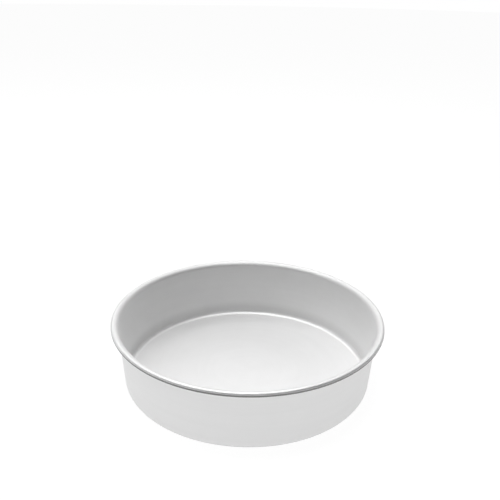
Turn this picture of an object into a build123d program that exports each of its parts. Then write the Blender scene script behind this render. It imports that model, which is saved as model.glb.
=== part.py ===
from build123d import *

from math import cos, degrees, radians, sin, tan
import os

# Round cake tin, sold as 8 inches across and 2 inches deep. One aluminium sheet is drawn into the
# floor and the wall, turned outwards at the mouth, and rolled round a steel wire as its rim.
# The origin is the centre of the underside of the floor, with +Z up through the mouth.
# Lengths are in millimetres and angles in degrees.

# The shell
mouth_diameter = 203.2        # inside the wall, where it starts to turn outwards
inside_depth = 51.4           # from the floor to the top of the rim
sheet = 0.8                   # thickness of the drawn aluminium
wall_draft_angle = 4.2        # lean of the wall away from the vertical
floor_corner_radius = 3.0     # inside, between the floor and the wall
lip_radius = 4.5              # inside face of the bend that carries the wall out to the rim
curl_angle = 250.0            # how far the sheet rolls on past the top of the rim

# The wire in the rim
wire_diameter = 1.6
wire_clearance = 0.2          # between the wire and the sheet rolled round it
wire_end_gap = 0.6            # the wire is a bent length, and its two ends don't quite meet

# Worked out from those
overall_height = sheet + inside_depth
wire_radius = wire_diameter / 2
rim_radius = wire_radius + wire_clearance + sheet
rim_centre_radius = mouth_diameter / 2 + lip_radius
rim_centre_height = overall_height - rim_radius
wall_angle = 90 - wall_draft_angle
draft = radians(wall_draft_angle)
bend_radii = floor_corner_radius + lip_radius
wall_rise = inside_depth - bend_radii * (1 - sin(draft))
wall_length = wall_rise / cos(draft)
flat_floor_radius = rim_centre_radius - bend_radii * cos(draft) - wall_rise * tan(draft)
wire_gap_angle = degrees(wire_end_gap / rim_centre_radius)


def sheet_face(depth):
    """Draw one face of the sheet, from the middle of the floor to the rolled edge.

    Depth is measured through the sheet from the face that holds the cake.
    """
    start = (0, sheet - depth)
    floor = Line(start, (flat_floor_radius, sheet - depth))
    corner = JernArc(floor @ 1, floor % 1, floor_corner_radius + depth, wall_angle)
    wall = PolarLine(corner @ 1, wall_length, wall_angle)
    lip = JernArc(wall @ 1, wall % 1, lip_radius - depth, -wall_angle)
    curl = JernArc(lip @ 1, lip % 1, rim_radius - depth, -curl_angle)
    return start, curl @ 1


# Shell: a sheet of one thickness, from the floor to the edge tucked under the rim.
with BuildPart() as pan_body:
    with BuildSketch(Plane.XZ) as sheet_section:
        with BuildLine():
            inside_start, inside_end = sheet_face(0)
            outside_start, outside_end = sheet_face(sheet)
            Line(inside_start, outside_start)
            Line(inside_end, outside_end)
        make_face()
    revolve(axis=Axis.Z)

# Wire: lies in the rolled rim, all the way round but for the gap between its ends.
with BuildPart() as rim_wire:
    with BuildSketch(Plane.XZ) as wire_section:
        with Locations((rim_centre_radius, rim_centre_height)):
            Circle(wire_radius)
    revolve(axis=Axis.Z, revolution_arc=360 - wire_gap_angle)

pan_body.part.label = "pan_body"
rim_wire.part.label = "rim_wire"

os.makedirs("parts", exist_ok=True)
for piece in (pan_body, rim_wire):
    export_step(piece.part, f"parts/{piece.part.label}.step")
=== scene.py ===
from math import cos, pi, radians, sin, tan

import bpy
from mathutils import Matrix, Vector


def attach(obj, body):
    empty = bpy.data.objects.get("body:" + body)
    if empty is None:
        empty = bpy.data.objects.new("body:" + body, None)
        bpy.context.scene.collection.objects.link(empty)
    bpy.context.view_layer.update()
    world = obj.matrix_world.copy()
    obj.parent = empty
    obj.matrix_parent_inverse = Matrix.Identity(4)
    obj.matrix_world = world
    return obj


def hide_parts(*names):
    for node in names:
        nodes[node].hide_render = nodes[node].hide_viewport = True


# Round cake tin in satin aluminium, sold as 8 inches across and 2 inches deep. Lengths are in
# metres, the origin is the centre of the underside and +Z points up through the mouth.

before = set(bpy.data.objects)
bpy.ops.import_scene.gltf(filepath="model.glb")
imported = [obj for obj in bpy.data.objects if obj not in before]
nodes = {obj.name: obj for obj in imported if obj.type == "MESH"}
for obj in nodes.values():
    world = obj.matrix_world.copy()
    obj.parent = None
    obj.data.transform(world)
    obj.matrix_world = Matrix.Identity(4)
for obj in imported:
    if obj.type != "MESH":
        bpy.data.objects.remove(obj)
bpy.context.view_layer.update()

# The drawn shell, as in the CAD
mouth_radius = 0.1016
inside_depth = 0.0514
sheet = 0.0008
wall_draft = radians(4.2)
floor_corner_radius = 0.003
lip_radius = 0.0045
curl_angle = radians(250.0)
overall_height = sheet + inside_depth
rim_radius = 0.0018
rim_centre_radius = mouth_radius + lip_radius
rim_centre_height = overall_height - rim_radius
bend_radii = floor_corner_radius + lip_radius
wall_rise = inside_depth - bend_radii * (1 - sin(wall_draft))
wall_length = wall_rise / cos(wall_draft)
wall_run = wall_rise * tan(wall_draft)
flat_floor_radius = rim_centre_radius - bend_radii * cos(wall_draft) - wall_run

# Steps of the shell's mesh, along its section and round its axis
floor_steps = 10
corner_steps = 14
wall_steps = 12
lip_steps = 14
curl_steps = 36
turns = 320
sharp_edge = radians(40.0)

# Zones of the shell's finish, and of the light and shade painted into its tone. Each begins at its
# first value and is whole at its second. A slope is the upward part of the surface's normal.
bead_radii = (rim_centre_radius - 0.0015, rim_centre_radius + 0.0003)
bead_heights = (rim_centre_height - 0.0032, rim_centre_height - 0.0026)
bead_inner_edge = rim_centre_radius - 0.0001
under_bead_slopes = (0.32, 0.08)
near_floor_heights = (0.0044, 0.0034)
near_floor_slopes = (0.02, 0.1)
corner_radii = (flat_floor_radius - 0.0008, flat_floor_radius + 0.0002)
low_wall_upper_heights = (0.0145, 0.0045)
low_wall_lower_heights = (0.0024, 0.0034)
low_wall_slopes = (0.01, 0.05)
foot_heights = (0.003, 0.0008)
foot_slopes = (-0.02, -0.06)

# Detail of the aluminium. Scales are in cells of noise per metre, bumps are in metres, and a
# drift lets the rings wander.
ring_scale = 2200.0
ring_drift = 0.002
ring_ends = (0.2, 0.8)
ring_bump = 0.000004
broad_ring_scale = 260.0
broad_ring_drift = 0.004
broad_ring_ends = (0.25, 0.75)
cloud_scale = 45.0
cloud_ends = (0.25, 0.75)
grain_scale = 3800.0
grain_bump = 0.000003

# Tone and roughness of the aluminium, and what each zone does to them. The corner has a painted
# highlight, the floor has painted light, and the underside of the bead, the low wall inside and
# the foot have painted shade
cloud_tones = (0.9, 0.92)
broad_ring_tones = (-0.006, 0.006)
corner_painted_highlight = 0.07
floor_painted_light = 0.025
under_bead_painted_shade = 0.26
low_wall_painted_shade = 0.9
foot_painted_shade = 0.6
cloud_roughness = (0.68, 0.72)
ring_roughness = (-0.02, 0.02)
rim_polish = 0.1
corner_polish = 0.09

# The steel wire
die_line_scale = 9000.0
die_line_ends = (0.2, 0.8)
die_line_roughness = (0.3, 0.46)
die_line_bump = 0.000006
patch_scale = 300.0
patch_ends = (0.3, 0.7)
patch_tones = (0.5, 0.62)

# Camera
frame_pixels = 500
focal_pixels = 660.859
sensor_width = 36.0
camera_distance = 0.558075
camera_elevation = radians(33.269)
camera_yaw = radians(0.1)
camera_pitch = radians(22.992)
camera_roll = radians(1.016)
nearest_seen = 0.01
farthest_seen = 50.0

# The paper floor, and the light that it gives off of itself, as seen and as reflected
paper_radius = 6.0
paper_corners = 96
paper_tone = 0.14
paper_glow = 0.945
paper_glow_reflected = 0.94

# The room: how far towards the back a direction points, from -1 to 1, and its light there
white = (1.0, 1.0, 1.0, 1.0)
screen_directions = (0.3, 0.95)
screen_strengths = (0.0, 0.5)
wing_directions = (-0.1, 0.7)
wing_strengths = (0.0, 0.4)


class Nodes:
    """Adds and joins the nodes of one material or world."""

    def __init__(self, owner):
        owner.use_nodes = True
        self.tree = owner.node_tree
        self.tree.nodes.clear()

    def add(self, kind, **settings):
        node = self.tree.nodes.new(kind)
        for name, value in settings.items():
            setattr(node, name, value)
        return node

    def join(self, source, target):
        if hasattr(source, "is_output"):
            self.tree.links.new(source, target)
        else:
            target.default_value = source

    def math(self, operation, *values):
        node = self.add("ShaderNodeMath", operation=operation)
        for socket, value in zip(node.inputs, values):
            self.join(value, socket)
        return node.outputs[0]

    def times(self, value, factor):
        return self.math("MULTIPLY", value, factor)

    def plus(self, value, addition):
        return self.math("ADD", value, addition)

    def span(self, value, ends, results=(0.0, 1.0), smooth=True):
        """Carry a value from one range to another, and hold it past the ends."""
        node = self.add("ShaderNodeMapRange")
        node.interpolation_type = "SMOOTHSTEP" if smooth else "LINEAR"
        for socket, given in zip(node.inputs, (value, *ends, *results)):
            self.join(given, socket)
        return node.outputs[0]

    def shade(self, tone, zone, factor):
        """Multiply a tone by a factor inside a zone."""
        return self.times(tone, self.span(zone, (0.0, 1.0), (1.0, factor), smooth=False))

    def noise(self, vector, scale, detail=2.0, roughness=0.5):
        node = self.add("ShaderNodeTexNoise")
        self.join(vector, node.inputs["Vector"])
        node.inputs["Scale"].default_value = scale
        node.inputs["Detail"].default_value = detail
        node.inputs["Roughness"].default_value = roughness
        return node.outputs["Fac"]

    def vector(self, x, y, z):
        node = self.add("ShaderNodeCombineXYZ")
        for socket, value in zip(node.inputs, (x, y, z)):
            self.join(value, socket)
        return node.outputs[0]

    def split(self, vector):
        node = self.add("ShaderNodeSeparateXYZ")
        self.join(vector, node.inputs[0])
        return node.outputs

    def from_axis(self, x, y):
        """Distance from the tin's axis."""
        return self.math("SQRT", self.plus(self.times(x, x), self.times(y, y)))

    def grey(self, value):
        node = self.add("ShaderNodeCombineColor")
        for socket in node.inputs:
            self.join(value, socket)
        return node.outputs[0]

    def bump(self, height, distance, normal=None):
        node = self.add("ShaderNodeBump")
        node.inputs["Strength"].default_value = 1.0
        node.inputs["Distance"].default_value = distance
        self.join(height, node.inputs["Height"])
        if normal is not None:
            self.join(normal, node.inputs["Normal"])
        return node.outputs[0]


def metal_material(name):
    made = bpy.data.materials.new(name)
    n = Nodes(made)
    metal = n.add("ShaderNodeBsdfPrincipled")
    output = n.add("ShaderNodeOutputMaterial")
    n.join(metal.outputs[0], output.inputs[0])
    metal.inputs["Metallic"].default_value = 1.0
    return made, n, metal


def satin_aluminium():
    """Satin anodised aluminium with a faint spun grain, smoother on the rolled rim, and with light
    and shade painted into its tone.
    """
    made, n, metal = metal_material("satin_aluminium")
    where = n.add("ShaderNodeTexCoord").outputs["Object"]
    x, y, z = n.split(where)
    radius = n.from_axis(x, y)
    east = n.math("DIVIDE", x, radius)
    north = n.math("DIVIDE", y, radius)
    slope = n.split(n.add("ShaderNodeNewGeometry").outputs["Normal"])[2]

    # Where on the tin: the rolled rim, the underside of its bead, the corner and the floor and the
    # low part of the wall inside, and the foot that it stands on outside. Light is painted on the
    # corner and floor, and shade under the bead, low on the wall and on the foot
    high = n.span(z, bead_heights)
    rim = n.times(n.span(radius, bead_radii), high)
    on_bead = n.times(high, n.math("GREATER_THAN", radius, bead_inner_edge))
    under_bead = n.times(on_bead, n.span(slope, under_bead_slopes))
    near_floor = n.times(n.span(z, near_floor_heights), n.span(slope, near_floor_slopes))
    corner = n.times(near_floor, n.span(radius, corner_radii))
    floor = n.math("SUBTRACT", near_floor, corner)
    low_wall = n.times(n.span(z, low_wall_upper_heights), n.span(z, low_wall_lower_heights))
    low_wall = n.times(low_wall, n.span(slope, low_wall_slopes))
    foot = n.times(n.span(z, foot_heights), n.span(slope, foot_slopes))

    # Detail: rings, cloudy satin and a fine grain
    along = n.plus(radius, z)
    ring_place = n.vector(along, n.times(east, ring_drift), n.times(north, ring_drift))
    rings = n.noise(ring_place, ring_scale, detail=3.0, roughness=0.6)
    broad_ring_place = n.vector(along, n.times(east, broad_ring_drift),
                                n.times(north, broad_ring_drift))
    broad_rings = n.noise(broad_ring_place, broad_ring_scale)
    cloud = n.noise(where, cloud_scale, detail=3.0, roughness=0.55)
    grain = n.noise(where, grain_scale, roughness=0.6)

    tone = n.plus(n.span(cloud, cloud_ends, cloud_tones, smooth=False),
                  n.span(broad_rings, broad_ring_ends, broad_ring_tones, smooth=False))
    # Painted highlight: the corner's tone is made lighter
    tone = n.plus(tone, n.times(corner, corner_painted_highlight))
    # Painted light: the floor's tone is made lighter
    tone = n.plus(tone, n.times(floor, floor_painted_light))
    # Painted shade: the underside of the bead is darkened
    tone = n.shade(tone, under_bead, under_bead_painted_shade)
    # Painted shade: the low part of the wall inside is darkened
    tone = n.shade(tone, low_wall, low_wall_painted_shade)
    # Painted shade: the foot outside is darkened where the tin meets the floor
    tone = n.shade(tone, foot, foot_painted_shade)
    n.join(n.grey(tone), metal.inputs["Base Color"])

    rough = n.plus(n.span(cloud, cloud_ends, cloud_roughness, smooth=False),
                   n.span(rings, ring_ends, ring_roughness, smooth=False))
    rough = n.math("SUBTRACT", rough, n.times(rim, rim_polish))
    rough = n.math("SUBTRACT", rough, n.times(corner, corner_polish))
    n.join(rough, metal.inputs["Roughness"])

    bumped = n.bump(rings, ring_bump)
    bumped = n.bump(grain, grain_bump, bumped)
    n.join(bumped, metal.inputs["Normal"])
    return made


def drawn_steel():
    """Galvanised steel wire with the lengthwise lines of the die."""
    made, n, metal = metal_material("drawn_steel")
    where = n.add("ShaderNodeTexCoord").outputs["Object"]
    x, y, z = n.split(where)
    lines = n.noise(n.vector(n.from_axis(x, y), z, 0.0), die_line_scale, detail=3.0, roughness=0.6)
    patches = n.noise(where, patch_scale, detail=3.0, roughness=0.6)
    tone = n.span(patches, patch_ends, patch_tones, smooth=False)
    rough = n.span(lines, die_line_ends, die_line_roughness, smooth=False)
    n.join(n.grey(tone), metal.inputs["Base Color"])
    n.join(rough, metal.inputs["Roughness"])
    n.join(n.bump(lines, die_line_bump), metal.inputs["Normal"])
    return made


def arc(centre, radius, start, sweep, steps):
    """Points round an arc, without its first. Angles are turned clockwise from straight up."""
    points = []
    for step in range(1, steps + 1):
        angle = start + sweep * step / steps
        points.append((centre[0] + radius * sin(angle), centre[1] + radius * cos(angle)))
    return points


def shell_face(depth):
    """One face of the sheet, from the middle of the floor to the edge rolled under the rim.

    Depth is measured through the sheet from the face that holds the cake.
    """
    points = [(flat_floor_radius * step / floor_steps, sheet - depth)
              for step in range(floor_steps + 1)]
    turn = pi / 2 - wall_draft
    corner_centre = (flat_floor_radius, sheet + floor_corner_radius)
    points += arc(corner_centre, floor_corner_radius + depth, pi, -turn, corner_steps)
    foot = points[-1]
    for step in range(1, wall_steps + 1):
        run = wall_length * step / wall_steps
        points.append((foot[0] + run * sin(wall_draft), foot[1] + run * cos(wall_draft)))
    lip_centre = (rim_centre_radius, overall_height - lip_radius)
    points += arc(lip_centre, lip_radius - depth, -turn, turn, lip_steps)
    curl_centre = (rim_centre_radius, rim_centre_height)
    points += arc(curl_centre, rim_radius - depth, 0.0, curl_angle, curl_steps)
    return points


def add_shell():
    """The drawn sheet as one turned mesh, finer than the CAD's own."""
    section = shell_face(0.0)[1:] + list(reversed(shell_face(sheet)[1:]))
    count = len(section)
    verts = []
    for turn in range(turns):
        angle = 2 * pi * turn / turns
        verts += [(r * cos(angle), r * sin(angle), z) for r, z in section]
    top_middle, base_middle = len(verts), len(verts) + 1
    verts += [(0.0, 0.0, sheet), (0.0, 0.0, 0.0)]
    faces = []
    for turn in range(turns):
        here, there = turn * count, (turn + 1) % turns * count
        for step in range(count - 1):
            faces.append((here + step + 1, there + step + 1, there + step, here + step))
        faces.append((top_middle, here, there))
        faces.append((base_middle, there + count - 1, here + count - 1))
    mesh = bpy.data.meshes.new("tin_shell")
    mesh.from_pydata(verts, [], faces)
    mesh.polygons.foreach_set("use_smooth", [True] * len(faces))
    mesh.update()
    mesh.set_sharp_from_angle(angle=sharp_edge)
    shell = bpy.data.objects.new("tin_shell", mesh)
    bpy.context.scene.collection.objects.link(shell)
    mesh.materials.append(satin_aluminium())
    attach(shell, "root")
    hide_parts("pan_body")


def add_camera():
    place = Vector((0.0, -camera_distance * cos(camera_elevation),
                    camera_distance * sin(camera_elevation)))
    ahead = Vector((sin(camera_yaw) * cos(camera_pitch),
                    cos(camera_yaw) * cos(camera_pitch), -sin(camera_pitch)))
    level = Vector((cos(camera_yaw), -sin(camera_yaw), 0.0))
    upright = level.cross(ahead)
    right = cos(camera_roll) * level + sin(camera_roll) * upright
    up = cos(camera_roll) * upright - sin(camera_roll) * level
    data = bpy.data.cameras.new("camera")
    data.sensor_width = sensor_width
    data.lens = focal_pixels / frame_pixels * sensor_width
    data.clip_start = nearest_seen
    data.clip_end = farthest_seen
    camera = bpy.data.objects.new("camera", data)
    turn = Matrix((right, up, -ahead)).transposed().to_4x4()
    camera.matrix_world = Matrix.Translation(place) @ turn
    bpy.context.scene.collection.objects.link(camera)
    bpy.context.scene.camera = camera


def add_floor():
    """A pale paper floor, shown as white, that keeps a soft shadow under the tin."""
    mesh = bpy.data.meshes.new("floor")
    angles = [2 * pi * corner / paper_corners for corner in range(paper_corners)]
    edge = [(paper_radius * cos(angle), paper_radius * sin(angle), 0.0) for angle in angles]
    mesh.from_pydata(edge, [], [tuple(range(paper_corners))])
    floor = bpy.data.objects.new("floor", mesh)
    bpy.context.scene.collection.objects.link(floor)
    made = bpy.data.materials.new("pale_floor")
    n = Nodes(made)
    rays = n.add("ShaderNodeLightPath").outputs
    seen = rays["Is Camera Ray"]
    reflected = n.math("MAXIMUM", rays["Is Glossy Ray"], rays["Is Transmission Ray"])
    paper = n.add("ShaderNodeBsdfDiffuse")
    n.join(n.grey(paper_tone), paper.inputs["Color"])
    glow = n.add("ShaderNodeEmission")
    glow.inputs["Color"].default_value = white
    n.join(n.plus(n.times(seen, paper_glow), n.times(reflected, paper_glow_reflected)),
           glow.inputs["Strength"])
    both = n.add("ShaderNodeAddShader")
    n.join(paper.outputs[0], both.inputs[0])
    n.join(glow.outputs[0], both.inputs[1])
    output = n.add("ShaderNodeOutputMaterial")
    n.join(both.outputs[0], output.inputs[0])
    mesh.materials.append(made)


def add_world():
    """A white backdrop behind the tin, with wings that fade to a dim room in front of it."""
    world = bpy.data.worlds.new("studio")
    bpy.context.scene.world = world
    n = Nodes(world)
    back = n.split(n.add("ShaderNodeTexCoord").outputs["Generated"])[1]
    screen = n.span(back, screen_directions, screen_strengths)
    wings = n.span(back, wing_directions, wing_strengths)
    seen = n.add("ShaderNodeLightPath").outputs["Is Camera Ray"]
    background = n.add("ShaderNodeBackground")
    background.inputs["Color"].default_value = white
    n.join(n.math("MAXIMUM", n.plus(screen, wings), seen), background.inputs["Strength"])
    output = n.add("ShaderNodeOutputWorld")
    n.join(background.outputs[0], output.inputs[0])


def add_softbox(name, place, width, watts, shape="DISK"):
    """A soft lamp that faces the middle of the tin's base."""
    data = bpy.data.lights.new(name, "AREA")
    data.shape = shape
    data.size = width
    data.energy = watts
    lamp = bpy.data.objects.new(name, data)
    turn = Vector(place).to_track_quat("Z", "Y").to_matrix().to_4x4()
    lamp.matrix_world = Matrix.Translation(place) @ turn
    bpy.context.scene.collection.objects.link(lamp)


def from_tin(distance, compass, elevation):
    """A place seen from the tin. Compass is in degrees from +X, and elevation in degrees."""
    compass, elevation = radians(compass), radians(elevation)
    return (distance * cos(elevation) * cos(compass), distance * cos(elevation) * sin(compass),
            distance * sin(elevation))


steel = nodes["rim_wire"].data.materials
steel.clear()
steel.append(drawn_steel())
add_shell()
add_camera()
add_floor()
add_world()
add_softbox("overhead", place=(-0.3, 0.3, 1.25), width=0.9, watts=2.4)
add_softbox("overhead_back", place=(0.0, 0.35, 1.25), width=0.9, watts=2.3)
add_softbox("overhead_front", place=(0.0, -0.35, 1.25), width=0.9, watts=2.2)
add_softbox("overhead_small", place=(0.0, 0.0, 1.3), width=0.4, watts=3.2)
add_softbox("left", place=from_tin(distance=1.4, compass=180, elevation=45), width=0.8, watts=3.2,
            shape="SQUARE")

bpy.context.scene.view_settings.view_transform = "Standard"
